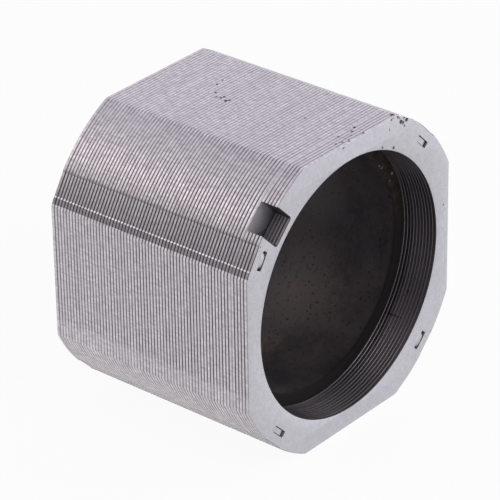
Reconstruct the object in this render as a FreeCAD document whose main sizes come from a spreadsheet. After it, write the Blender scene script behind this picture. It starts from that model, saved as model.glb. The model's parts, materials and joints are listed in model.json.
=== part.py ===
"""Square laminated stator stack with a sleeve bonded in its bore, in millimetres.

The origin is on the bore axis at the middle of the stack. +Y runs along the bore towards the
rear end, the notched front end faces -Y and +Z is up. The stack stands on its bottom flat.
"""
import FreeCAD, Part
from FreeCAD import Placement, Rotation, Vector
from Sketcher import Constraint
import math
import os

# Driving dimensions: lengths in millimetres, turns in degrees from +X towards +Z.
SIZES = [
    ("flats_across", 40.0, "distance between opposite flats"),
    ("corner_rise", 2.0, "how much further out than the flats the corner arcs lie"),
    ("bore_radius", 17.5, "stamped bore"),
    ("sheet_thickness", 0.5, "one lamination"),
    ("sheet_count", 63, "laminations in the stack"),
    ("packet_sheets", 8, "laminations joined in one plain packet"),
    ("notched_sheets", 5, "laminations that the corner notch goes through"),
    ("notch_turn", 135.0, "corner with the notch"),
    ("notch_width", 3.9, "between the notch's parallel sides"),
    ("notch_rounding", 0.3, "radius of the notch's inner corners"),
    ("bridge", 0.9, "steel left between the notch's floor and the bore"),
    ("cleat_length", 2.4, "interlocking cleat, along the corner arc"),
    ("cleat_width", 0.8, "cleat, across its length"),
    ("cleat_crown", 1.4, "level top of the cleat, along the arc"),
    ("cleat_height", 0.4, "how far a cleat is pressed out of its sheet"),
    ("cleat_inset", 1.8, "from the corner arc in to the middle of the cleat"),
    ("cleat_step", 12.6, "turn from the notch to the cleat beside it"),
    ("window_clearance", 0.04, "round a cleat in the end lamination's window"),
    ("relief_width", 3.2, "shallow flat on the corner arc outside each cleat"),
    ("relief_depth", 0.12, "how far that flat lies below the arc"),
    ("sleeve_wall", 1.6, "wall of the sleeve in the bore"),
    ("sleeve_length", 21.0, "sleeve, along the bore"),
    ("sleeve_setback", 5.2, "from the front face in to the sleeve"),
    ("sleeve_bevel", 0.2, "bevel on the sleeve's inner rims"),
    ("glue_line", 0.02, "adhesive between the sleeve and the bore"),
]
CORNER_RADIUS = "(sizes.flats_across / 2 + sizes.corner_rise)"
HALF_ACROSS = "(sizes.flats_across / 2)"
CLEAT_CIRCLE = "(%s - sizes.cleat_inset)" % CORNER_RADIUS
CLEAT_TURNS = ("45", "(sizes.notch_turn + sizes.cleat_step)", "225", "315")

doc = FreeCAD.newDocument("stator_stack")
sizes = doc.addObject("Spreadsheet::Sheet", "sizes")
for row, (alias, value, meaning) in enumerate(SIZES, start=1):
    sizes.set("A%d" % row, str(value))
    sizes.setAlias("A%d" % row, alias)
    sizes.set("B%d" % row, meaning)
doc.recompute()


def origin_plane(body, role):
    """One of the body's own origin planes."""
    return next(plane for plane in body.Origin.OriginFeatures if plane.Role == role)


def attach(feature, body, role):
    """Lay a sketch or a block in one of the body's origin planes."""
    feature.AttachmentSupport = [(origin_plane(body, role), "")]
    feature.MapMode = "FlatFace"


def drive(sketch, name, constraint, formula):
    """Add a dimension to a sketch and bind it to the size sheet."""
    index = sketch.addConstraint(constraint)
    sketch.renameConstraint(index, name)
    sketch.setExpression("Constraints." + name, formula)


def circle_about(centre, radius):
    return Part.Circle(centre, Vector(0, 0, 1), radius)


def draw_outline(sketch):
    """Four flats joined by corner arcs about the axis, with the bore inside them."""
    half = sizes.flats_across / 2
    corner = half + sizes.corner_rise
    reach = math.sqrt(corner ** 2 - half ** 2)
    flat_turn = math.atan2(reach, half)
    flats = []
    arcs = []
    for side in range(4):
        turn = side * math.pi / 2
        spin = Rotation(Vector(0, 0, 1), math.degrees(turn))
        ends = [spin.multVec(Vector(half, y, 0)) for y in (-reach, reach)]
        flats.append(sketch.addGeometry(Part.LineSegment(*ends)))
        arc = Part.ArcOfCircle(circle_about(Vector(), corner),
                               turn + flat_turn, turn + math.pi / 2 - flat_turn)
        arcs.append(sketch.addGeometry(arc))
    edges = [edge for pair in zip(flats, arcs) for edge in pair]
    for edge, following in zip(edges, edges[1:] + edges[:1]):
        sketch.addConstraint(Constraint("Coincident", edge, 2, following, 1))
    for arc in arcs:
        sketch.addConstraint(Constraint("Coincident", arc, 3, -1, 1))
    for arc in arcs[1:]:
        sketch.addConstraint(Constraint("Equal", arcs[0], arc))
    for flat, direction in zip(flats, ("Vertical", "Horizontal") * 2):
        sketch.addConstraint(Constraint(direction, flat))
    right, top, left, bottom = flats
    drive(sketch, "corner", Constraint("Radius", arcs[0], corner), CORNER_RADIUS)
    drive(sketch, "right", Constraint("DistanceX", -1, 1, right, 1, half), HALF_ACROSS)
    drive(sketch, "top", Constraint("DistanceY", -1, 1, top, 1, half), HALF_ACROSS)
    drive(sketch, "left", Constraint("DistanceX", left, 1, -1, 1, half), HALF_ACROSS)
    drive(sketch, "bottom", Constraint("DistanceY", bottom, 1, -1, 1, half), HALF_ACROSS)
    bore = sketch.addGeometry(circle_about(Vector(), sizes.bore_radius))
    sketch.addConstraint(Constraint("Coincident", bore, 3, -1, 1))
    drive(sketch, "bore", Constraint("Radius", bore, sizes.bore_radius), "sizes.bore_radius")


def draw_notch(sketch):
    """A slot with parallel sides and rounded inner corners, open past the corner arc."""
    half = sizes.notch_width / 2
    rounding = sizes.notch_rounding
    floor = sizes.bore_radius + sizes.bridge
    turn_in = floor + rounding
    mouth = sizes.flats_across / 2 + 2 * sizes.corner_rise
    left_round = circle_about(Vector(rounding - half, turn_in, 0), rounding)
    right_round = circle_about(Vector(half - rounding, turn_in, 0), rounding)
    left, left_arc, base, right_arc, right, top = [sketch.addGeometry(edge) for edge in (
        Part.LineSegment(Vector(-half, mouth, 0), Vector(-half, turn_in, 0)),
        Part.ArcOfCircle(left_round, math.pi, 1.5 * math.pi),
        Part.LineSegment(Vector(rounding - half, floor, 0), Vector(half - rounding, floor, 0)),
        Part.ArcOfCircle(right_round, 1.5 * math.pi, 2 * math.pi),
        Part.LineSegment(Vector(half, turn_in, 0), Vector(half, mouth, 0)),
        Part.LineSegment(Vector(half, mouth, 0), Vector(-half, mouth, 0)))]
    sketch.addConstraint([
        Constraint("Tangent", left, 2, left_arc, 1),
        Constraint("Tangent", left_arc, 2, base, 1),
        Constraint("Tangent", base, 2, right_arc, 1),
        Constraint("Tangent", right_arc, 2, right, 1),
        Constraint("Coincident", right, 2, top, 1),
        Constraint("Coincident", top, 2, left, 1),
        Constraint("Horizontal", base),
        Constraint("Equal", left_arc, right_arc),
        Constraint("Symmetric", left, 1, right, 2, -2)])
    drive(sketch, "rounding", Constraint("Radius", left_arc, rounding), "sizes.notch_rounding")
    drive(sketch, "width", Constraint("DistanceX", left, 1, right, 2, 2 * half), "sizes.notch_width")
    drive(sketch, "floor", Constraint("DistanceY", -1, 1, base, 1, floor),
          "sizes.bore_radius + sizes.bridge")
    drive(sketch, "mouth", Constraint("DistanceY", -1, 1, top, 1, mouth),
          HALF_ACROSS + " + 2 * sizes.corner_rise")


def stamp(body, kind, name, turn, lengths, radii, depths):
    """A block across a corner: its length at each depth, then its radii and its depths."""
    block = body.newObject("PartDesign::" + kind, name)
    attach(block, body, "XY_Plane")
    block.AttachmentOffset = Placement(Vector(), Rotation(Vector(0, 1, 0), 0))
    block.setExpression("AttachmentOffset.Rotation.Angle", "90 - " + turn)
    front_length, rear_length = lengths
    inner, outer = radii
    front, rear = depths
    formulas = {"Xmin": "-(%s) / 2" % front_length, "Xmax": "(%s) / 2" % front_length,
                "X2min": "-(%s) / 2" % rear_length, "X2max": "(%s) / 2" % rear_length,
                "Zmin": inner, "Zmax": outer, "Z2min": inner, "Z2max": outer,
                "Ymin": front, "Ymax": rear}
    for size, formula in formulas.items():
        block.setExpression(size, formula)


def lamination(label, first_sheet, sheets, notched=False, windowed=False):
    """One stamped sheet, or a packet of plain ones, with its front face at its own Y of 0."""
    body = doc.addObject("PartDesign::Body", label)
    body.Label = label
    thickness = "(%d * sizes.sheet_thickness)" % sheets
    outline = body.newObject("Sketcher::SketchObject", label + "_outline")
    attach(outline, body, "XZ_Plane")
    draw_outline(outline)
    blank = body.newObject("PartDesign::Pad", label + "_blank")
    blank.Profile = outline
    blank.Reversed = True
    blank.setExpression("Length", thickness)
    if notched:
        notch_outline = body.newObject("Sketcher::SketchObject", label + "_notch_outline")
        attach(notch_outline, body, "XZ_Plane")
        notch_outline.AttachmentOffset = Placement(Vector(), Rotation(Vector(0, 0, 1), 0))
        notch_outline.setExpression("AttachmentOffset.Rotation.Angle", "sizes.notch_turn - 90")
        draw_notch(notch_outline)
        notch = body.newObject("PartDesign::Pocket", label + "_notch")
        notch.Profile = notch_outline
        notch.Type = "ThroughAll"
    half_width = "sizes.cleat_width / 2"
    cleat_radii = ("%s - %s" % (CLEAT_CIRCLE, half_width), "%s + %s" % (CLEAT_CIRCLE, half_width))
    window_radii = (cleat_radii[0] + " - sizes.window_clearance",
                    cleat_radii[1] + " + sizes.window_clearance")
    window_length = "sizes.cleat_length + 2 * sizes.window_clearance"
    relief_radii = (CORNER_RADIUS + " - sizes.relief_depth", CORNER_RADIUS + " + sizes.relief_depth")
    slope = ("sizes.cleat_crown", "sizes.cleat_length")
    for corner, turn in enumerate(CLEAT_TURNS, start=1):
        stamp(body, "SubtractiveWedge", "%s_relief_%d" % (label, corner), turn,
              ("sizes.relief_width", "sizes.relief_width"), relief_radii, ("0", thickness))
        if windowed:
            stamp(body, "SubtractiveWedge", "%s_window_%d" % (label, corner), turn,
                  (window_length, window_length), window_radii, ("0", thickness))
        else:
            stamp(body, "AdditiveWedge", "%s_cleat_%d" % (label, corner), turn,
                  slope, cleat_radii, ("-sizes.cleat_height", "0"))
            stamp(body, "SubtractiveWedge", "%s_recess_%d" % (label, corner), turn,
                  slope, cleat_radii, (thickness + " - sizes.cleat_height", thickness))
    body.setExpression("Placement.Base.y",
                       "(%d - sizes.sheet_count / 2) * sizes.sheet_thickness" % first_sheet)
    return body


def sleeve(label):
    """A plain ring bonded in the bore, its inner rims bevelled."""
    body = doc.addObject("PartDesign::Body", label)
    body.Label = label
    section = body.newObject("Sketcher::SketchObject", label + "_section")
    attach(section, body, "XY_Plane")
    outer = sizes.bore_radius - sizes.glue_line
    inner = outer - sizes.sleeve_wall
    bevel = sizes.sleeve_bevel
    length = sizes.sleeve_length
    corners = [Vector(inner + bevel, 0, 0), Vector(outer, 0, 0), Vector(outer, length, 0),
               Vector(inner + bevel, length, 0), Vector(inner, length - bevel, 0),
               Vector(inner, bevel, 0)]
    edges = [section.addGeometry(Part.LineSegment(start, end))
             for start, end in zip(corners, corners[1:] + corners[:1])]
    for edge, following in zip(edges, edges[1:] + edges[:1]):
        section.addConstraint(Constraint("Coincident", edge, 2, following, 1))
    front, outside, rear, rear_bevel, inside, front_bevel = edges
    section.addConstraint([
        Constraint("PointOnObject", front, 1, -1),
        Constraint("Horizontal", front),
        Constraint("Vertical", outside),
        Constraint("Horizontal", rear),
        Constraint("Vertical", inside)])
    outer_formula = "sizes.bore_radius - sizes.glue_line"
    drive(section, "outer", Constraint("DistanceX", -1, 1, outside, 1, outer), outer_formula)
    drive(section, "length", Constraint("DistanceY", outside, 1, outside, 2, length),
          "sizes.sleeve_length")
    drive(section, "inner", Constraint("DistanceX", -1, 1, inside, 1, inner),
          outer_formula + " - sizes.sleeve_wall")
    for name, edge in (("rear_bevel", rear_bevel), ("front_bevel", front_bevel)):
        across = (edge, 2, edge, 1) if edge == rear_bevel else (edge, 1, edge, 2)
        drive(section, name + "_width", Constraint("DistanceX", *across, bevel), "sizes.sleeve_bevel")
    drive(section, "rear_rim", Constraint("DistanceY", rear_bevel, 2, rear_bevel, 1, bevel),
          "sizes.sleeve_bevel")
    drive(section, "front_rim", Constraint("DistanceY", front_bevel, 2, front_bevel, 1, bevel),
          "sizes.sleeve_bevel")
    ring = body.newObject("PartDesign::Revolution", label + "_ring")
    ring.Profile = section
    ring.ReferenceAxis = (section, ["V_Axis"])
    ring.Angle = 360
    body.setExpression("Placement.Base.y",
                       "sizes.sleeve_setback - sizes.sheet_count / 2 * sizes.sheet_thickness")
    return body


sheet_count = int(sizes.sheet_count)
notched_sheets = int(sizes.notched_sheets)
packet_sheets = int(sizes.packet_sheets)
pieces = [lamination("end_lamination", 0, 1, notched=True, windowed=True)]
for index in range(1, notched_sheets):
    pieces.append(lamination("notched_lamination_%d" % (index + 1), index, 1, notched=True))
pieces.append(lamination("seat_lamination", notched_sheets, 1))
packet_starts = range(notched_sheets + 1, sheet_count - 1, packet_sheets)
for number, start in enumerate(packet_starts, start=1):
    sheets = min(packet_sheets, sheet_count - 1 - start)
    pieces.append(lamination("lamination_packet_%02d" % number, start, sheets))
pieces.append(lamination("rear_lamination", sheet_count - 1, 1))
pieces.append(sleeve("bore_sleeve"))
doc.recompute()

for item in doc.Objects:
    if "Invalid" in item.State or "Error" in item.State:
        raise RuntimeError("%s failed: %s" % (item.Name, item.State))
for piece in pieces:
    if piece.Shape.isNull() or not piece.Shape.isValid() or len(piece.Shape.Solids) != 1:
        raise RuntimeError("%s is not one valid solid" % piece.Label)

os.makedirs("parts", exist_ok=True)
for piece in pieces:
    piece.Shape.exportStep(os.path.join("parts", piece.Label + ".step"))
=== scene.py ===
import json
import math
import random

import bpy
from mathutils import Matrix, Vector, geometry


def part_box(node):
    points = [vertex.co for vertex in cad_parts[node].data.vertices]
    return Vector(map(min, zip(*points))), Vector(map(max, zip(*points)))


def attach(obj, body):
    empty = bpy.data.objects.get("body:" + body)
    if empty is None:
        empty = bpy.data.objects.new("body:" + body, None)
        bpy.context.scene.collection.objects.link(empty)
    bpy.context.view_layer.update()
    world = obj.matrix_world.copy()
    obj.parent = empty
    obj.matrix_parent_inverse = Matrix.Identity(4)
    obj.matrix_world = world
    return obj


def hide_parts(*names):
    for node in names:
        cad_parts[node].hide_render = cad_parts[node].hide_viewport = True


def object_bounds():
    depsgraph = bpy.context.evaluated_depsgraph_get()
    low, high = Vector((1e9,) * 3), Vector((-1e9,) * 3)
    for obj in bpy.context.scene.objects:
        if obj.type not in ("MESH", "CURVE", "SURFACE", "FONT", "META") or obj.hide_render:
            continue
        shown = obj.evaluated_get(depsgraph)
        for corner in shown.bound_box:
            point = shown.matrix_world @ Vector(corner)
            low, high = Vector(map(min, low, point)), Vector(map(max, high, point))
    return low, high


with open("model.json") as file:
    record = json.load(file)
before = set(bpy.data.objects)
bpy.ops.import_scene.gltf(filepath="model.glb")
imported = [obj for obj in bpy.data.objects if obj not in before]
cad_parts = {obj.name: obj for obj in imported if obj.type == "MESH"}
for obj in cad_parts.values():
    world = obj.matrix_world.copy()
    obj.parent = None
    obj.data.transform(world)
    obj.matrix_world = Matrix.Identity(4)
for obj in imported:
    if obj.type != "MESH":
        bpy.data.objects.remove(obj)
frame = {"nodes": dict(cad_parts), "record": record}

MM = 0.001
CAD_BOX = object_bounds()
random.seed(11)


# ---------------------------------------------------------------- sizes from the CAD model
def radii_of(node):
    """Smallest and largest distance of a CAD node's corners from the bore's axis."""
    distances = [math.hypot(v.co.x, v.co.z) for v in frame["nodes"][node].data.vertices]
    return min(distances), max(distances)


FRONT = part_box("end_lamination")[0][1]
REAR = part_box("rear_lamination")[1][1]
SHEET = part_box("end_lamination")[1][1] - FRONT
SHEETS = round((REAR - FRONT) / SHEET)
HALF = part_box("end_lamination")[1][0]
BORE, CORNER = radii_of("end_lamination")
SLEEVE_LOW, SLEEVE_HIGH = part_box("bore_sleeve")
SLEEVE_OUTER = SLEEVE_HIGH[0]
SLEEVE_INNER = frame["record"]["mounts"][0]["dims"]["r_mm"] * MM

# The punched details, as in the CAD model. Turns are in degrees from +X towards +Z.
NOTCH_TURN = 135.0
NOTCH_HALF = 1.95 * MM
NOTCH_FLOOR = BORE + 0.9 * MM
NOTCH_ROUNDING = 0.3 * MM
NOTCHED_SHEETS = 5
CLEAT_TURNS = (45.0, 147.6, 225.0, 315.0)
CLEAT_CIRCLE = CORNER - 1.8 * MM
CLEAT_HALF_LENGTH = 1.2 * MM
CLEAT_HALF_WIDTH = 0.4 * MM
CLEAT_HEIGHT = 0.4 * MM
WINDOW_GAP = 0.04 * MM
RELIEF_HALF = 1.6 * MM
RELIEF_RADIUS = CORNER - 0.12 * MM

# What only the looks have: the cleats' curve from foot to crown, the slope of their sides, which
# is one in seven, the rounded window corners, the crease and the burnished lip of a relief, and
# the band of painted shade past the notched corner's relief. A change of finish takes SEAM to happen.
CLEAT_SHARES = (1.0, 0.96, 0.91, 0.85, 0.78, 0.70, 0.60, 0.48, 0.34, 0.18)
CLEAT_DOME = 2.6
CLEAT_SLOPE = 7
WINDOW_ROUNDING = 0.14 * MM
RELIEF_CREASE = 0.07 * MM
RELIEF_LIP = 0.15 * MM
SHADED_BAND_START = 150.0
SHADED_BAND_END = 154.4
SEAM = 0.04 * MM


def on_circle(radius, turn):
    """A point of the XZ plane at a turn about the bore's axis."""
    angle = math.radians(turn)
    return (radius * math.cos(angle), radius * math.sin(angle))


def across(turn, along, radius):
    """A point of the XZ plane: a radius out from the bore's axis at a turn, then square to it."""
    angle = math.radians(turn)
    return (radius * math.cos(angle) - along * math.sin(angle),
            radius * math.sin(angle) + along * math.cos(angle))


# ---------------------------------------------------------------- outlines of a sheet
ARC_STEP = 1.0
FLAT_POINTS = 20
BORE_POINTS = 240
ROUNDING_POINTS = 5
NOTCH_WALL_POINTS = 4


def arc(radius, start, end):
    count = max(1, round((end - start) / ARC_STEP))
    return [on_circle(radius, start + (end - start) * i / count) for i in range(count + 1)]


def relief_points(turn):
    """The flat outside a cleat: it starts at a crease and ends in a burnished lip."""
    places = [-RELIEF_HALF, RELIEF_CREASE - RELIEF_HALF, RELIEF_CREASE + SEAM - RELIEF_HALF]
    places += [RELIEF_HALF * i / 3 for i in range(-2, 3)] + [RELIEF_HALF - SEAM, RELIEF_HALF]
    points = [across(turn, along, RELIEF_RADIUS) for along in places]
    end = RELIEF_HALF + RELIEF_LIP
    return points + [across(turn, end, math.sqrt(CORNER ** 2 - end ** 2))]


def notch_points(turn):
    """The notch's two walls and its floor, whose corners are rounded."""
    foot = NOTCH_FLOOR + NOTCH_ROUNDING
    points = []
    for side in (-1, 1):
        side_wall = []
        for i in range(NOTCH_WALL_POINTS, 0, -1):
            height = foot + (CORNER - foot) * i / (NOTCH_WALL_POINTS + 1)
            side_wall.append(across(turn, side * NOTCH_HALF, height))
        for i in range(ROUNDING_POINTS):
            angle = math.pi / 2 * i / (ROUNDING_POINTS - 1)
            along = side * (NOTCH_HALF - NOTCH_ROUNDING) + side * NOTCH_ROUNDING * math.cos(angle)
            side_wall.append(across(turn, along, foot - NOTCH_ROUNDING * math.sin(angle)))
        points += side_wall if side < 0 else side_wall[::-1]
    return points


def outline(notched):
    """The sheet's outer edge, anticlockwise from the right-hand flat."""
    flat_turn = math.degrees(math.acos(HALF / CORNER))
    reach = HALF * math.tan(math.radians(flat_turn))
    points = []
    for quarter in range(4):
        middle = 90.0 * quarter
        places = [SEAM - reach] + [reach * (2 * i / FLAT_POINTS - 1) for i in range(1, FLAT_POINTS)]
        points += [across(middle, along, HALF) for along in places + [reach - SEAM]]
        here = middle + flat_turn
        end = middle + 90.0 - flat_turn
        # Each cut has its turn, how far it reaches before and after that turn, and its points.
        cuts = [(turn, RELIEF_HALF, RELIEF_HALF + RELIEF_LIP, relief_points(turn))
                for turn in CLEAT_TURNS if here < turn < end]
        if notched and here < NOTCH_TURN < end:
            cuts.append((NOTCH_TURN, NOTCH_HALF, NOTCH_HALF, notch_points(NOTCH_TURN)))
        if here < SHADED_BAND_END < end:
            cuts.append((SHADED_BAND_END, 0.0, 0.0, []))
        for turn, before, after, cut in sorted(cuts):
            points += arc(CORNER, here, turn - math.degrees(math.asin(before / CORNER))) + cut
            here = turn + math.degrees(math.asin(after / CORNER) + SEAM / CORNER)
        points += arc(CORNER, here, end)
    return points


def ease(value, low, high):
    """0 below low, 1 above high and a smooth rise between them."""
    share = min(1.0, max(0.0, (value - low) / (high - low)))
    return share * share * (3 - 2 * share)


# Finishes: how dark the edge is painted, which is painted shade, and how dark its grooves between the
# sheets are, from dirt and painted shade. The grooves on the left flat are painted darker than on the
# lit top and the other sides.
LIGHT_GROOVE_FINISH = (0.0, 0.6)
LEFT_FLAT_FINISH = (0.0, 1.0)
# Painted shade in the notch, with its grooves painted darker still.
NOTCH_SHADE_FINISH = (0.74, 2.0)
# Painted shade on the band between the notched corner's relief and the left flat.
SHADED_BAND_FINISH = (0.68, 1.7)
# Painted shade in the crease where a relief starts.
CREASE_SHADE_FINISH = (0.72, 1.0)
LIP_FINISH = (0.0, 1.5)
# The lower reliefs get less painted shade.
LOWER_RELIEF_SHADE_FINISH = (0.15, 0.8)
# Painted shade on the upper reliefs, whose flat faces away from the light: some at their middle, more
# towards the lip, and their grooves dark with dirt and painted shade.
RELIEF_SHADE = 0.47
RELIEF_SHADE_GAIN = 0.13
RELIEF_GROOVE_DIRT_AND_SHADE = 2.2

# Turns just before the top flat ends and where the lower edges start, how far in degrees the
# notch reaches to each side at the most, and how far below the corner's arc it surely starts.
TOP_FLAT_END = 114.3
LOWER_HALF = 200.0
NOTCH_REACH = 6
NOTCH_LEAST_DEPTH = 0.2 * MM
TURN_SLACK = 0.05
# How dark the bore's edges are painted: a dark finish with painted shade.
BORE_DULLNESS_AND_SHADE = 0.72
# Stretches of the bore with painted light and shade: middle, half width in degrees and change of
# painted shade, which is painted light where it is below zero.
BORE_PAINTED_LIGHT_PATCHES = ((47, 28, -0.42), (294, 24, -0.20), (266, 24, -0.30), (332, 22, 0.12))


def relief_shade_and_dirt(turn, away):
    """The painted shade and groove darkness of a relief at a distance along the arc from its cleat's
    middle.
    """
    if away < RELIEF_CREASE + SEAM / 2 - RELIEF_HALF:
        return CREASE_SHADE_FINISH
    if away >= RELIEF_HALF - SEAM / 2:
        return LIP_FINISH
    # The lower reliefs get less painted shade.
    if turn > LOWER_HALF:
        return LOWER_RELIEF_SHADE_FINISH
    return RELIEF_SHADE + RELIEF_SHADE_GAIN * away / RELIEF_HALF, RELIEF_GROOVE_DIRT_AND_SHADE


def notched_corner_shade_and_dirt(turn):
    """The notched corner's arc: more painted shade downwards, grooves darker downwards with dirt and
    painted shade, ragged where the top flat ends.
    """
    # Painted shade on the arc, more of it towards the notch and below it.
    arc_shade = 0.15 * ease(turn, 114, 116)
    above_notch = 0.05 * ease(turn, 115, 118) * ease(134 - turn, 0, 8)
    below_notch = 0.2 * ease(turn, 137, 143)
    dirt_and_shade = 0.72 + 0.28 * ease(turn, 114, 136)
    ragged = 0.15 * ease(118.5 - turn, 0, 2)
    return arc_shade + above_notch + below_notch, dirt_and_shade + ragged


def edge_shade_and_dirt(point):
    """How dark a sheet's outer edge is painted at a point of its outline: painted shade, and dirt
    with painted shade in its grooves.
    """
    x, z = point
    turn = math.degrees(math.atan2(z, x)) % 360.0
    below_arc = math.hypot(x, z) < CORNER - NOTCH_LEAST_DEPTH
    if below_arc and abs(turn - NOTCH_TURN) < NOTCH_REACH:
        return NOTCH_SHADE_FINISH
    for middle in CLEAT_TURNS:
        away = math.radians(turn - middle) * CORNER
        if -RELIEF_HALF - SEAM / 2 < away < RELIEF_HALF + RELIEF_LIP + SEAM / 2:
            return relief_shade_and_dirt(turn, away)
    # The band past the notched corner's relief is painted dark as shade.
    if SHADED_BAND_START < turn < SHADED_BAND_END + TURN_SLACK:
        return SHADED_BAND_FINISH
    if SHADED_BAND_START < turn < LOWER_HALF:
        return LEFT_FLAT_FINISH
    if TOP_FLAT_END < turn < LOWER_HALF:
        return notched_corner_shade_and_dirt(turn)
    return LIGHT_GROOVE_FINISH


def bore_dullness_and_shade(turn):
    """How dark the punched bore is painted at a turn: a dark finish with painted shade, and painted
    light on its lower reach and its upper right.
    """
    dullness_and_shade = BORE_DULLNESS_AND_SHADE
    for middle, half_width, change in BORE_PAINTED_LIGHT_PATCHES:
        dullness_and_shade += change * ease(half_width - abs(turn - middle), 0, half_width)
    return dullness_and_shade


# A sharp corner moves by twice the distance at the most.
LEAST_STRETCH = 0.5


def inset(points, distance):
    """A closed outline moved to its left by a distance, which is inwards on an outer edge."""
    moved = []
    count = len(points)
    for i, (x, z) in enumerate(points):
        before = points[i - 1]
        after = points[(i + 1) % count]
        first = Vector((x - before[0], z - before[1])).normalized()
        second = Vector((after[0] - x, after[1] - z)).normalized()
        normal = Vector((-first.y - second.y, first.x + second.x)).normalized()
        stretch = max(LEAST_STRETCH, normal.dot(Vector((-first.y, first.x))))
        moved.append((x + normal.x * distance / stretch, z + normal.y * distance / stretch))
    return moved


def block(turn, half_length, half_width, rounding=0.0):
    """A rectangle at a cleat's place, anticlockwise; reversed it bounds a hole."""
    points = []
    for side, end, start in ((-1, -1, 180), (-1, 1, 270), (1, 1, 0), (1, -1, 90)):
        centre = (end * (half_length - rounding), side * (half_width - rounding))
        for i in range(ROUNDING_POINTS if rounding else 1):
            angle = math.radians(start + 90 * i / (ROUNDING_POINTS - 1))
            along = centre[0] + rounding * math.cos(angle)
            points.append(across(turn, -along, CLEAT_CIRCLE + centre[1] + rounding * math.sin(angle)))
    return points


# ---------------------------------------------------------------- meshes
CRISP_ANGLE = 35.0


class Shell:
    """Collects rings of points and the faces between them for one mesh."""

    def __init__(self):
        self.points = []
        self.faces = []
        self.groove = []
        self.tone = []
        self.dullness_and_shade = []

    def ring(self, outline_points, y, groove=0.0, tone=0.5, dullness_and_shade=0.0):
        """Adds a ring; groove, tone and the dullness with painted shade are one number, or one for
        each of its points.
        """
        first = len(self.points)
        self.points += [(x, y, z) for x, z in outline_points]
        for values, given in ((self.groove, groove), (self.tone, tone), (self.dullness_and_shade, dullness_and_shade)):
            values += given if isinstance(given, list) else [given] * len(outline_points)
        return list(range(first, len(self.points)))

    def wall(self, one, other):
        """Faces between two rings that have as many points as each other."""
        count = len(one)
        for i in range(count):
            j = (i + 1) % count
            self.faces.append((one[i], other[i], other[j], one[j]))

    def walls(self, rings):
        """Faces from each ring to the next."""
        for one, other in zip(rings, rings[1:]):
            self.wall(one, other)

    def cap(self, rings, facing_rear):
        """Flat face bounded by its first ring, with the other rings as holes."""
        loops = [[Vector((self.points[i][0], self.points[i][2], 0)) for i in ring]
                 for ring in rings]
        order = [i for ring in rings for i in ring]
        for a, b, c in geometry.tessellate_polygon(loops):
            a, b, c = order[a], order[b], order[c]
            (ax, _, az), (bx, _, bz), (cx, _, cz) = (self.points[i] for i in (a, b, c))
            turns_left = (bx - ax) * (cz - az) - (bz - az) * (cx - ax) > 0
            self.faces.append((a, c, b) if turns_left == facing_rear else (a, b, c))

    def mesh(self, name):
        """The finished mesh: smooth, with edges sharper than CRISP_ANGLE kept crisp."""
        mesh = bpy.data.meshes.new(name)
        mesh.from_pydata(self.points, [], self.faces)
        for label, values in (("groove", self.groove), ("tone", self.tone), ("dullness_and_shade", self.dullness_and_shade)):
            layer = mesh.attributes.new(label, "FLOAT", "POINT")
            layer.data.foreach_set("value", values)
        mesh.validate()
        mesh.update()
        for polygon in mesh.polygons:
            polygon.use_smooth = True
        mesh.set_sharp_from_angle(angle=math.radians(CRISP_ANGLE))
        return mesh


def add_piece(name, mesh, surface, slot, *nodes):
    """Puts a mesh in the place of CAD nodes, on the root body."""
    piece = bpy.data.objects.new(name, mesh)
    bpy.context.scene.collection.objects.link(piece)
    mesh.materials.append(surface)
    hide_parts(*nodes)
    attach(piece, "root")
    return piece


# How far in millimetres a stamped edge lies in from the outline at each share of the sheet's
# thickness, and how dark it is painted there, dirt with painted shade in the seams: rolled over at
# the front, broken out at the rear.
EDGE = ((0.00, 0.085, 1.0), (0.05, 0.050, 1.0), (0.12, 0.024, 0.85), (0.20, 0.008, 0.35),
        (0.28, 0.000, 0.0), (0.66, 0.000, 0.0), (0.80, 0.008, 0.25), (0.90, 0.026, 0.85),
        (1.00, 0.060, 1.0))
BORE_EDGE = ((0.00, 0.080, 1.0), (0.05, 0.050, 0.9), (0.12, 0.022, 0.55), (0.22, 0.006, 0.3),
             (0.32, 0.000, 0.3), (0.50, 0.000, 0.5), (0.75, 0.000, 0.7), (0.90, 0.010, 0.9),
             (1.00, 0.040, 1.0))
# The end sheets have clean faces, so the dark stops short of them; the fine dark line at the front
# sheet's rim is a painted burr shadow.
FIRST_EDGE = ((0.00, 0.110, 0.0), (0.01, 0.060, 0.45), (0.06, 0.022, 0.6),
              (0.14, 0.006, 0.25)) + EDGE[4:]
FIRST_BORE_EDGE = ((0.00, 0.040, 0.0), (0.04, 0.015, 0.1)) + BORE_EDGE[2:]
LAST_EDGE = EDGE[:-2] + ((0.95, 0.012, 0.0), (1.00, 0.035, 0.0))
LAST_BORE_EDGE = BORE_EDGE[:-1] + LAST_EDGE[-1:]
# The sheet that closes the notch is painted less dark at its front edge, and its face darkens towards
# the bore as painted shade in the notch.
# The windows have a sheared edge, painted dark down its wall as shade in the hole.
SEAT_EDGE = ((0.00, 0.040, 0.30), (0.05, 0.015, 0.25)) + EDGE[3:]
WINDOW_EDGE = ((0.00, 0.030, 0.0), (0.06, 0.000, 0.6), (1.00, 0.000, 1.0))

# How far the sheets differ: how far in millimetres an edge lies in, how deep its seam is as a
# share of the profile, and how much its tone tells in the bore. The grooves darken less towards the
# rear.
LARGEST_LIE = 0.016
SEAM_DEPTHS = (0.75, 1.2)
BORE_TONE = 0.12
FRONT_GROOVE_GAIN = 1.1
REAR_GROOVE_LOSS = 0.3
# How dark the rim of a cleat's recess is, and how much darker its bottom is.
RECESS_DARKNESS = 0.3
RECESS_DARKNESS_GAIN = 0.5


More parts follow.
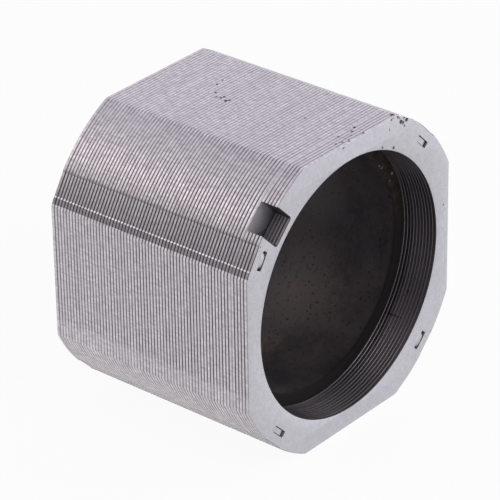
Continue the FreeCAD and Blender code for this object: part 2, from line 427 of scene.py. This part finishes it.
def edges_of(index):
    """The profiles of a sheet's outer edge and of its bore."""
    if index == 0:
        return FIRST_EDGE, FIRST_BORE_EDGE
    if index == NOTCHED_SHEETS:
        return SEAT_EDGE, BORE_EDGE
    if index == SHEETS - 1:
        return LAST_EDGE, LAST_BORE_EDGE
    return EDGE, BORE_EDGE


def add_window(shell, turn, front):
    """A hole through the end sheet with a sheared edge, painted darker down its wall as shade in the
    hole; gives its front and rear rings.
    """
    hole = block(turn, CLEAT_HALF_LENGTH + WINDOW_GAP, CLEAT_HALF_WIDTH + WINDOW_GAP,
                 WINDOW_ROUNDING)[::-1]
    rings = [shell.ring(inset(hole, fall * MM), front + share * SHEET, dirt_and_shade)
             for share, fall, dirt_and_shade in WINDOW_EDGE]
    shell.walls(rings)
    return rings[0], rings[-1]


def cleat_bends():
    """Half the length of a cleat at each height above its foot: it rises in a dome."""
    return [(CLEAT_HALF_LENGTH * share, CLEAT_HEIGHT * (1 - share ** CLEAT_DOME))
            for share in CLEAT_SHARES]


def close_dome(shell, rings, facing_rear):
    """Faces from the foot of a cleat or its recess to the flat crown; gives the foot's ring."""
    for foot, crown in zip(rings, rings[1:]):
        shell.wall(crown, foot)
    shell.cap([rings[-1]], facing_rear)
    return rings[0]


def add_cleat(shell, turn, front):
    """A cleat pressed out of a sheet's front."""
    rings = [shell.ring(block(turn, half, CLEAT_HALF_WIDTH - rise / CLEAT_SLOPE), front - rise)
             for half, rise in cleat_bends()]
    return close_dome(shell, rings, facing_rear=False)


def add_recess(shell, turn, rear):
    """The back of a cleat, sunk into a sheet's rear and darker towards its bottom."""
    rings = [shell.ring(block(turn, half, CLEAT_HALF_WIDTH)[::-1], rear - fall,
                        RECESS_DARKNESS + RECESS_DARKNESS_GAIN * fall / CLEAT_HEIGHT)
             for half, fall in cleat_bends()]
    return close_dome(shell, rings, facing_rear=True)


def add_sheet(shell, index):
    """One lamination: its edges all round, both faces, and what is punched in them."""
    front = FRONT + index * SHEET
    tone = random.random()
    lie = random.uniform(0.0, LARGEST_LIE) * MM
    depth = random.uniform(*SEAM_DEPTHS)
    if index == 0:
        lie = 0.0
    edge, bore_edge = edges_of(index)
    outer = outline(index < NOTCHED_SHEETS)
    # Painted shade and groove darkness for each point of the outline.
    shades_and_dirt = [edge_shade_and_dirt(point) for point in outer]
    dullness_and_shade = [pair[0] for pair in shades_and_dirt]
    # The grooves darken less towards the rear.
    groove_gain = FRONT_GROOVE_GAIN - REAR_GROOVE_LOSS * index / SHEETS
    grime_and_shade = [pair[1] * groove_gain for pair in shades_and_dirt]
    bore_turns = [360.0 * i / BORE_POINTS for i in range(BORE_POINTS)][::-1]
    bore = [on_circle(BORE, turn) for turn in bore_turns]
    # The bore's painted light and shade, with each sheet's tone.
    bore_dull_and_shade = [bore_dullness_and_shade(turn) + BORE_TONE * tone for turn in bore_turns]
    outer_rings = [shell.ring(inset(outer, fall * depth * MM + lie), front + share * SHEET,
                              [min(1.0, groove * dirt_and_shade) for dirt_and_shade in grime_and_shade], tone, dullness_and_shade)
                   for share, fall, groove in edge]
    bore_rings = [shell.ring(inset(bore, fall * depth * MM), front + share * SHEET,
                             groove, tone, bore_dull_and_shade)
                  for share, fall, groove in bore_edge]
    shell.walls(outer_rings)
    shell.walls(bore_rings)
    front_holes = []
    rear_holes = []
    for turn in CLEAT_TURNS:
        if index == 0:
            front_ring, rear_ring = add_window(shell, turn, front)
            front_holes.append(front_ring)
            rear_holes.append(rear_ring)
        if index == 1:
            front_holes.append(add_cleat(shell, turn, front))
        if index == SHEETS - 1:
            rear_holes.append(add_recess(shell, turn, front + SHEET))
    shell.cap([outer_rings[0], bore_rings[0]] + front_holes, facing_rear=False)
    shell.cap([outer_rings[-1], bore_rings[-1]] + rear_holes, facing_rear=True)


# ---------------------------------------------------------------- materials
def material(name):
    made = bpy.data.materials.new(name)
    made.use_nodes = True
    tree = made.node_tree
    tree.nodes.clear()
    output = tree.nodes.new("ShaderNodeOutputMaterial")
    shader = tree.nodes.new("ShaderNodeBsdfPrincipled")
    tree.links.new(shader.outputs["BSDF"], output.inputs["Surface"])
    return made, tree, shader


# Places of the colour sockets on a mix node, which has sockets of the same name for numbers.
MIX_FIRST_COLOUR = 6
MIX_SECOND_COLOUR = 7
MIX_COLOUR = 2
# How far in millimetres a small mark takes to fade out.
MARK_FADE = 0.12


class Wires:
    """Short names for the nodes that the materials below are built from."""

    def __init__(self, tree):
        self.tree = tree
        self.coordinates = tree.nodes.new("ShaderNodeTexCoord").outputs["Object"]

    def put(self, socket, value):
        if isinstance(value, bpy.types.NodeSocket):
            self.tree.links.new(value, socket)
        else:
            socket.default_value = value

    def attribute(self, name):
        node = self.tree.nodes.new("ShaderNodeAttribute")
        node.attribute_name = name
        return node.outputs["Fac"]

    def noise(self, scale, detail=4.0, roughness=0.55, stretch=(1, 1, 1), offset=(0, 0, 0)):
        """Noise in the object's own metres; stretch divides the scale along an axis."""
        place = self.tree.nodes.new("ShaderNodeMapping")
        self.put(place.inputs["Vector"], self.coordinates)
        place.inputs["Scale"].default_value = [1.0 / s for s in stretch]
        place.inputs["Location"].default_value = offset
        node = self.tree.nodes.new("ShaderNodeTexNoise")
        self.put(node.inputs["Vector"], place.outputs["Vector"])
        node.inputs["Scale"].default_value = scale
        node.inputs["Detail"].default_value = detail
        node.inputs["Roughness"].default_value = roughness
        return node.outputs["Fac"]

    def math(self, kind, one, other=0.0, clamp=False):
        node = self.tree.nodes.new("ShaderNodeMath")
        node.operation = kind
        node.use_clamp = clamp
        self.put(node.inputs[0], one)
        self.put(node.inputs[1], other)
        return node.outputs[0]

    def span(self, value, low, high, to_low=0.0, to_high=1.0):
        """Maps low..high to another range, with nothing beyond its ends."""
        node = self.tree.nodes.new("ShaderNodeMapRange")
        node.clamp = True
        for name, number in (("Value", value), ("From Min", low), ("From Max", high),
                             ("To Min", to_low), ("To Max", to_high)):
            self.put(node.inputs[name], number)
        return node.outputs["Result"]

    def mix(self, share, one, other, kind="MIX"):
        node = self.tree.nodes.new("ShaderNodeMix")
        node.data_type = "RGBA"
        node.blend_type = kind
        self.put(node.inputs["Factor"], share)
        self.put(node.inputs[MIX_FIRST_COLOUR], one)
        self.put(node.inputs[MIX_SECOND_COLOUR], other)
        return node.outputs[MIX_COLOUR]

    def axis(self, name):
        node = self.tree.nodes.new("ShaderNodeSeparateXYZ")
        self.put(node.inputs[0], self.coordinates)
        return node.outputs[name]

    def near(self, place, low, high, ragged=0.0):
        """1 close to a place given in millimetres and 0 beyond; ragged stirs its edge."""
        node = self.tree.nodes.new("ShaderNodeVectorMath")
        node.operation = "DISTANCE"
        self.put(node.inputs[0], self.coordinates)
        node.inputs[1].default_value = [number * MM for number in place]
        distance = node.outputs["Value"]
        if ragged:
            stir = self.math("SUBTRACT", self.noise(2300.0, detail=3.0, roughness=0.7), 0.5)
            distance = self.math("ADD", distance, self.math("MULTIPLY", stir, ragged * MM))
        return self.span(distance, low * MM, high * MM, 1.0, 0.0)

    def marks(self, places, ragged):
        """The strongest of several small marks, each a place and its size in millimetres."""
        found = 0.0
        for place, size in places:
            mark = self.near(place, size, size + MARK_FADE, ragged)
            found = self.math("MAXIMUM", found, mark)
        return found

    def bump(self, height, distance):
        node = self.tree.nodes.new("ShaderNodeBump")
        node.inputs["Strength"].default_value = 1.0
        node.inputs["Distance"].default_value = distance
        self.put(node.inputs["Height"], height)
        return node.outputs["Normal"]


def grey(level):
    return (level, level, level, 1.0)


# Dark specks and nicks, each a place and a size in millimetres. The first ones lie on the top
# flat, the row of dots is the scratch in the bore, and the last one is a nick beside it.
FRONT_MM = FRONT / MM
TOP_MM = 20.0
EDGE_MARKS = [((x, FRONT_MM + depth, TOP_MM), size) for x, depth, size in (
    (0.1, 2.0, 0.10), (-0.8, 0.8, 0.12), (-1.6, 1.0, 0.08), (-0.1, 0.3, 0.10), (3.3, 2.1, 0.12),
    (2.2, 1.7, 0.08), (2.7, 0.3, 0.10), (1.5, 8.4, 0.10), (-0.4, 18.9, 0.14), (-0.8, 19.2, 0.16),
    (0.0, 20.0, 0.16), (-0.5, 20.2, 0.10), (-0.7, 20.8, 0.10), (0.2, 21.7, 0.10), (2.2, 23.1, 0.08),
    (3.5, 23.3, 0.08), (8.8, 0.5, 0.22), (9.4, 0.3, 0.16))]
SCRATCH_DOTS = 7
EDGE_MARKS += [((13.3, FRONT_MM + 2.4 + 0.4 * i, -11.4), 0.07) for i in range(SCRATCH_DOTS)]
EDGE_MARKS += [((15.3, FRONT_MM + 2.8, -8.5), 0.15)]
FACE_MARKS = [((x, FRONT_MM, z), size) for x, z, size in (
    (8.4, 20.1, 0.24), (9.9, 18.8, 0.22), (10.3, 18.5, 0.16), (11.0, 18.7, 0.24), (10.5, 19.1, 0.14),
    (9.2, 19.7, 0.08), (8.0, 19.9, 0.12), (9.6, 19.4, 0.08), (10.6, 18.0, 0.06), (7.6, 18.6, 0.05),
    (-1.5, 19.7, 0.08), (6.2, 16.7, 0.10), (8.4, 15.8, 0.14), (-17.3, 12.8, 0.05),
    (18.9, 3.5, 0.08))]


# Colours in linear red, green and blue.
EDGE_SHADE = (0.68, 0.65, 0.685, 1)
EDGE_LIGHT = (0.81, 0.775, 0.815, 1)
EDGE_STREAK = (0.41, 0.38, 0.41, 1)
EDGE_GREY = (0.45, 0.42, 0.45, 1)
# Painted light: a cool, slightly darker tint on the top from the light above.
PAINTED_TOP_LIGHT = (0.95, 0.935, 1.05, 1)
# Dark grey of the dullness attribute, which is mostly painted shade.
DULL_AND_SHADE_GREY = (0.11, 0.10, 0.11, 1)
# Dirt and painted shade in the grooves between the sheets.
SEAM_DIRT_AND_SHADE = (0.022, 0.015, 0.02, 1)
EDGE_SPECK = (0.03, 0.024, 0.02, 1)

FACE_SHADE = (0.565, 0.555, 0.605, 1)
FACE_LIGHT = (0.605, 0.595, 0.65, 1)
FACE_GRAIN = (0.42, 0.41, 0.45, 1)
FACE_SPECKLE = (0.33, 0.32, 0.36, 1)
# Darkening by the groove attribute: painted shade in the notch on the seat's face, and darker near
# the rear recesses.
FACE_DIRT_AND_SHADE = (0.04, 0.035, 0.04, 1)
FACE_NICK = (0.05, 0.045, 0.05, 1)

SLEEVE_SHADE = (0.010, 0.0082, 0.0112, 1)
SLEEVE_LIGHT = (0.047, 0.039, 0.045, 1)
# Painted light from the rear opening on the sleeve's wall.
SLEEVE_PAINTED_LIGHT = (0.13, 0.113, 0.125, 1)
SLEEVE_RUST = (0.105, 0.068, 0.058, 1)
SLEEVE_GRAIN = (0.06, 0.039, 0.034, 1)
SLEEVE_SPECK = (0.003, 0.002, 0.002, 1)
SLEEVE_DOT = (0.003, 0.003, 0.003, 1)
# Painted shadow: the rim and its bevels are near black, which also hides the bevels' highlight.
RIM_SHADOW = (0.011, 0.009, 0.010, 1)
RIM_STAIN = (0.038, 0.027, 0.021, 1)
RIM_CRUST = (0.010, 0.007, 0.006, 1)
GLUE = (0.20, 0.19, 0.20, 1)
GLUE_SPOTS = (((12.4, -10.5, 10.0), 0.02), ((13.0, -10.5, 9.5), 0.08),
              ((14.9, -10.5, 7.9), 0.14), ((14.5, -10.5, 7.0), 0.0))


def edge_steel():
    """Stamped sheet edges: bright where burnished, darkened by painted shade, and dark in the grooves
    between sheets with dirt and painted shade.
    """
    made, tree, shader = material("stamped_edges")
    wires = Wires(tree)
    groove = wires.attribute("groove")
    tone = wires.attribute("tone")
    dullness_and_shade = wires.attribute("dullness_and_shade")
    cloud = wires.noise(220.0, detail=3.0)
    streaks = wires.noise(2600.0, detail=3.0, roughness=0.6, stretch=(1, 3.0, 1))
    bright = wires.mix(cloud, EDGE_SHADE, EDGE_LIGHT)
    bright = wires.mix(wires.span(streaks, 0.35, 0.65, 0.0, 0.7), bright, EDGE_STREAK)
    bright = wires.mix(wires.span(tone, 0, 1, 0.0, 0.25), bright, EDGE_GREY)
    # Painted light from above: the top is tinted cool and slightly darker.
    towards_top = wires.span(wires.axis("Z"), 15 * MM, 19.5 * MM, 0.0, 0.6)
    bright = wires.mix(towards_top, bright, PAINTED_TOP_LIGHT, "MULTIPLY")
    # Painted shade: the edge darkens towards a dark grey by its dullness attribute, which is mostly
    # painted shade.
    bright = wires.mix(dullness_and_shade, bright, DULL_AND_SHADE_GREY)
    # The grooves between the sheets: dirt with painted shade.
    dirt_and_shade = wires.math("MULTIPLY", groove, wires.span(streaks, 0.2, 0.6, 1.0, 0.85), True)
    colour = wires.mix(dirt_and_shade, bright, SEAM_DIRT_AND_SHADE)
    marks = wires.marks(EDGE_MARKS, 0.5)
    sown = wires.math("MULTIPLY", wires.near((1.0, FRONT_MM + 1.5, TOP_MM), 1.5, 5.0, 1.0),
                      wires.span(wires.noise(2000.0, detail=2.0, roughness=0.5), 0.66, 0.70))
    marks = wires.math("MAXIMUM", marks, sown)
    wires.put(shader.inputs["Base Color"], wires.mix(marks, colour, EDGE_SPECK))
    wires.put(shader.inputs["Metallic"], 0.9)
    wires.put(shader.inputs["Roughness"], wires.span(streaks, 0.2, 0.8, 0.3, 0.45))
    height = wires.math("MULTIPLY", streaks, wires.span(dullness_and_shade, 0.5, 0.6, 1.0, 0.15))
    wires.put(shader.inputs["Normal"], wires.bump(height, 0.004 * MM))
    return made


def face_steel():
    """The rolled face of an end sheet: even satin grey with a faint grain and small nicks."""
    made, tree, shader = material("rolled_face")
    wires = Wires(tree)
    grain = wires.noise(1500.0, detail=4.0, roughness=0.65)
    cloud = wires.noise(140.0, detail=3.0)
    speckle = wires.noise(5200.0, detail=2.0, roughness=0.5)
    colour = wires.mix(cloud, FACE_SHADE, FACE_LIGHT)
    colour = wires.mix(wires.span(grain, 0.35, 0.7, 0.0, 0.4), colour, FACE_GRAIN)
    colour = wires.mix(wires.span(speckle, 0.55, 0.75, 0.0, 0.65), colour, FACE_SPECKLE)
    # The groove attribute darkens the seat's face towards the notch's floor: painted shade in the
    # notch.
    colour = wires.mix(wires.attribute("groove"), colour, FACE_DIRT_AND_SHADE)
    marks = wires.marks(FACE_MARKS, 0.5)
    wires.put(shader.inputs["Base Color"], wires.mix(marks, colour, FACE_NICK))
    wires.put(shader.inputs["Metallic"], 0.55)
    wires.put(shader.inputs["Roughness"], wires.span(grain, 0.2, 0.8, 0.45, 0.6))
    wires.put(shader.inputs["Normal"], wires.bump(grain, 0.003 * MM))
    return made


def sleeve_wall(wires, cloud, grain):
    """The sleeve's inner wall: dark violet grey, with painted light from the rear opening, rusty
    clouds and dark specks.
    """
    speck = wires.noise(1900.0, detail=2.0, roughness=0.5, offset=(3, 1, 2))
    colour = wires.mix(wires.span(cloud, 0.38, 0.62), SLEEVE_SHADE, SLEEVE_LIGHT)
    # Painted light where the light from the rear opening falls on the wall.
    rear_light = wires.math("MAXIMUM", wires.near((15.8, 4.0, 1.5), 0.0, 7.0, 1.0),
                      wires.near((10.6, 2.5, -11.9), 0.0, 8.0, 1.5))
    rear_light = wires.math("MULTIPLY", rear_light, 0.6)
    colour = wires.mix(rear_light, colour, SLEEVE_PAINTED_LIGHT)
    rust = wires.math("MAXIMUM", wires.near((10.8, 0.0, -11.6), 1.0, 8.0, 3.0),
                      wires.near((3.5, 0.6, -15.5), 0.5, 3.2, 1.0))
    rust = wires.math("MAXIMUM", rust, wires.near((13.8, -0.5, 7.8), 0.5, 6.0, 2.0))
    rust = wires.math("MULTIPLY", rust, wires.span(grain, 0.40, 0.60, 0.15, 0.7))
    colour = wires.mix(rust, colour, SLEEVE_RUST)
    colour = wires.mix(wires.span(grain, 0.50, 0.74, 0.0, 0.5), colour, SLEEVE_GRAIN)
    colour = wires.mix(wires.span(speck, 0.61, 0.68, 0.0, 0.9), colour, SLEEVE_SPECK)
    return wires.mix(wires.near((15.3, -9.9, 4.3), 0.2, 0.4, 0.2), colour, SLEEVE_DOT)


def sleeve_rim(wires, grain, fine):
    """The sleeve's end face and bevels: painted shadow all over, stained at its upper right, with a
    crust that grows outwards.
    """
    stain = wires.math("MULTIPLY", wires.near((12.0, -10.5, 12.0), 7.0, 13.0, 4.0),
                       wires.span(grain, 0.40, 0.60, 0.25, 1.0))
    # Painted shadow on the rim, with its stain.
    edge = wires.mix(stain, RIM_SHADOW, RIM_STAIN)
    outward = wires.attribute("tone")
    crust = wires.math("MULTIPLY", outward, wires.span(fine, 0.45, 0.6))
    return wires.mix(crust, edge, RIM_CRUST)


def sleeve_skin():
    """The bonded sleeve: its wall, its rim and the spots of glue at the rim."""
    made, tree, shader = material("sleeve_skin")
    wires = Wires(tree)
    rim = wires.attribute("groove")
    cloud = wires.noise(120.0, detail=4.0, roughness=0.6)
    grain = wires.noise(1100.0, detail=3.0, roughness=0.6)
    fine = wires.noise(4200.0, detail=3.0, roughness=0.6)
    colour = wires.mix(rim, sleeve_wall(wires, cloud, grain), sleeve_rim(wires, grain, fine))
    glue = wires.marks(GLUE_SPOTS, 1.2)
    wires.put(shader.inputs["Base Color"], wires.mix(glue, colour, GLUE))
    wires.put(shader.inputs["Specular IOR Level"], 0.25)
    rough = wires.span(cloud, 0.3, 0.7, 0.45, 0.6)
    wires.put(shader.inputs["Roughness"], wires.math("MAXIMUM", rough, rim))
    wires.put(shader.inputs["Normal"], wires.bump(fine, 0.01 * MM))
    return made


# How bright the floor looks to the camera and in the object's reflections.
CAMERA_GLOW = 0.93
MIRRORED_GLOW = 0.86


def floor_paper():
    """Pale paper under even light; it shows white to the camera and in reflections."""
    made, tree, shader = material("floor_paper")
    wires = Wires(tree)
    fibre = wires.noise(60.0, detail=5.0)
    wires.put(shader.inputs["Base Color"], wires.mix(fibre, grey(0.86), grey(0.9)))
    wires.put(shader.inputs["Roughness"], 0.9)
    output = next(n for n in tree.nodes if n.type == "OUTPUT_MATERIAL")
    path = tree.nodes.new("ShaderNodeLightPath").outputs
    mirrored = wires.math("MAXIMUM", path["Is Glossy Ray"], path["Is Transmission Ray"])
    seen = wires.math("MAXIMUM", wires.math("MULTIPLY", path["Is Camera Ray"], CAMERA_GLOW),
                      wires.math("MULTIPLY", mirrored, MIRRORED_GLOW))
    glow = tree.nodes.new("ShaderNodeEmission")
    glow.inputs["Color"].default_value = (1, 1, 1, 1)
    blend = tree.nodes.new("ShaderNodeMixShader")
    wires.put(blend.inputs["Fac"], seen)
    wires.put(blend.inputs[1], shader.outputs["BSDF"])
    wires.put(blend.inputs[2], glow.outputs["Emission"])
    wires.put(output.inputs["Surface"], blend.outputs["Shader"])
    return made


EDGES = edge_steel()
FACE = face_steel()
SKIN = sleeve_skin()


# ---------------------------------------------------------------- the stack
FRONTWARD = -1
REARWARD = 1
FACE_SLOT = 1
# What a node's box may miss by, in sheets.
SLACK = 0.01


def paint_faces(piece, facing):
    """Gives the rolled face its own material, on the polygons that look straight that way."""
    piece.data.materials.append(FACE)
    for polygon in piece.data.polygons:
        if polygon.normal.y * facing > 0.9:
            polygon.material_index = FACE_SLOT


def sheets_of(node):
    """First sheet of a CAD node and how many it stands for: its cleats reach into the sheet ahead."""
    low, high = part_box(node)
    first = math.ceil((low[1] - FRONT) / SHEET - SLACK)
    return first, round((high[1] - FRONT) / SHEET) - first


def add_laminations(node):
    """The sheets that a CAD node stands for, drawn one by one and joined as one piece."""
    first, count = sheets_of(node)
    shell = Shell()
    for index in range(first, first + count):
        add_sheet(shell, index)
    slot = "end_steel" if node in ("end_lamination", "rear_lamination") else "lamination_steel"
    piece = add_piece(node + "_looks", shell.mesh(node + "_looks"), EDGES, slot, node)
    if first <= NOTCHED_SHEETS:
        paint_faces(piece, FRONTWARD)
    if first + count == SHEETS:
        paint_faces(piece, REARWARD)


for node in sorted(frame["nodes"]):
    if node != "bore_sleeve":
        add_laminations(node)


# ---------------------------------------------------------------- the sleeve
SLEEVE_TURNS = 256
SLEEVE_ROWS = 40
BEVEL = 0.2 * MM
BEVEL_STEP = 15


def sleeve_section():
    """The sleeve's rings: radius, place along Y, 1 where it is rim, and how far out on the rim."""
    front, rear = SLEEVE_LOW[1], SLEEVE_HIGH[1]
    turns = [math.radians(angle) for angle in range(0, 90 + BEVEL_STEP, BEVEL_STEP)]
    section = [(SLEEVE_INNER + BEVEL * (1 - math.sin(t)), front + BEVEL * (1 - math.cos(t)), 1, 0)
               for t in turns]
    section += [(SLEEVE_INNER, front + BEVEL + (rear - front - 2 * BEVEL) * i / SLEEVE_ROWS, 0, 0)
                for i in range(1, SLEEVE_ROWS)]
    section += [(SLEEVE_INNER + BEVEL * (1 - math.sin(t)), rear - BEVEL * (1 - math.cos(t)), 1, 0)
                for t in turns[::-1]]
    wall = SLEEVE_OUTER - SLEEVE_INNER
    section += [(SLEEVE_INNER + wall * share, rear, 1, share) for share in (0.5, 1.0)]
    section += [(SLEEVE_INNER + wall * share, front, 1, share) for share in (1.0, 0.75, 0.5)]
    return section


def add_sleeve():
    """The section turned about the bore's axis."""
    shell = Shell()
    rings = []
    for radius, y, rim, outward in sleeve_section():
        points = [on_circle(radius, 360.0 * i / SLEEVE_TURNS) for i in range(SLEEVE_TURNS)]
        rings.append(shell.ring(points[::-1], y, rim, outward))
    shell.walls(rings + rings[:1])
    add_piece("bore_sleeve_looks", shell.mesh("bore_sleeve_looks"), SKIN, "sleeve", "bore_sleeve")


add_sleeve()


# ---------------------------------------------------------------- floor, light and camera
FLOOR_SIDE = 2.4


def add_floor():
    """The paper that the stack lies on."""
    bpy.ops.mesh.primitive_plane_add(size=FLOOR_SIDE, location=(0, 0, CAD_BOX[0][2]))
    floor = bpy.context.object
    floor.name = "floor"
    floor.data.materials.append(floor_paper())


def away_from_object(azimuth, elevation):
    """Direction from the object in degrees; azimuth 0 is in front of it, towards -Y."""
    a, e = math.radians(azimuth), math.radians(elevation)
    return Vector((math.sin(a) * math.cos(e), -math.cos(a) * math.cos(e), math.sin(e)))


def add_lamp(name, azimuth, elevation, distance, size, watts, colour=(1, 1, 1)):
    """A square soft box that looks at the object."""
    back = away_from_object(azimuth, elevation)
    lamp = bpy.data.lights.new(name, "AREA")
    lamp.size = size
    lamp.energy = watts
    lamp.color = colour
    holder = bpy.data.objects.new(name, lamp)
    holder.location = back * distance
    holder.rotation_euler = back.to_track_quat("Z", "Y").to_euler()
    bpy.context.scene.collection.objects.link(holder)


# The camera's place in degrees and millimetres: the point that it looks at lies to the left of the
# front face's middle and above it.
CAMERA_AZIMUTH = -49.73
CAMERA_ELEVATION = 28.64
CAMERA_ROLL = -0.96
CAMERA_DISTANCE = 397.93
AIM_RIGHT = -12.517
AIM_UP = 4.443
SENSOR_WIDTH = 36.0
FOCAL_LENGTH = 231.555


def add_camera():
    """A long lens, at the side of the notched corner and above, turned a degree about its axis."""
    azimuth, roll = math.radians(CAMERA_AZIMUTH), math.radians(CAMERA_ROLL)
    back = away_from_object(CAMERA_AZIMUTH, CAMERA_ELEVATION)
    level = Vector((math.cos(azimuth), math.sin(azimuth), 0))
    up = back.cross(level)
    right = math.cos(roll) * level + math.sin(roll) * up
    up = back.cross(right)
    aim = Vector((0, FRONT, 0)) + AIM_RIGHT * MM * right + AIM_UP * MM * up
    camera = bpy.data.cameras.new("camera")
    camera.sensor_width = SENSOR_WIDTH
    camera.lens = FOCAL_LENGTH
    camera.clip_start = 0.01
    holder = bpy.data.objects.new("camera", camera)
    turn = Matrix((right, up, back)).transposed().to_4x4()
    holder.matrix_world = Matrix.Translation(aim + CAMERA_DISTANCE * MM * back) @ turn
    bpy.context.scene.collection.objects.link(holder)
    bpy.context.scene.camera = holder


# How strongly the surroundings light the stack, and how bright they look.
FILL_STRENGTH = 0.5
SEEN_STRENGTH = 1.0


def add_world():
    """White surroundings that look brighter than they light."""
    world = bpy.data.worlds.new("studio")
    world.use_nodes = True
    tree = world.node_tree
    background = tree.nodes["Background"]
    background.inputs["Color"].default_value = (1, 1, 1, 1)
    path = tree.nodes.new("ShaderNodeLightPath").outputs
    wires = Wires(tree)
    seen = wires.math("MAXIMUM", path["Is Camera Ray"], path["Is Glossy Ray"])
    seen = wires.math("MAXIMUM", seen, path["Is Transmission Ray"])
    wires.put(background.inputs["Strength"], wires.span(seen, 0, 1, FILL_STRENGTH, SEEN_STRENGTH))
    bpy.context.scene.world = world


add_floor()
add_world()
add_lamp("key", 60, 12, 0.3, 0.14, 0.3)
add_lamp("front", -10, 45, 0.4, 0.15, 0.3)
add_lamp("rim", -140, 42, 0.4, 0.15, 0.1, (1.0, 0.80, 0.82))
add_camera()
bpy.context.scene.view_settings.view_transform = "Standard"
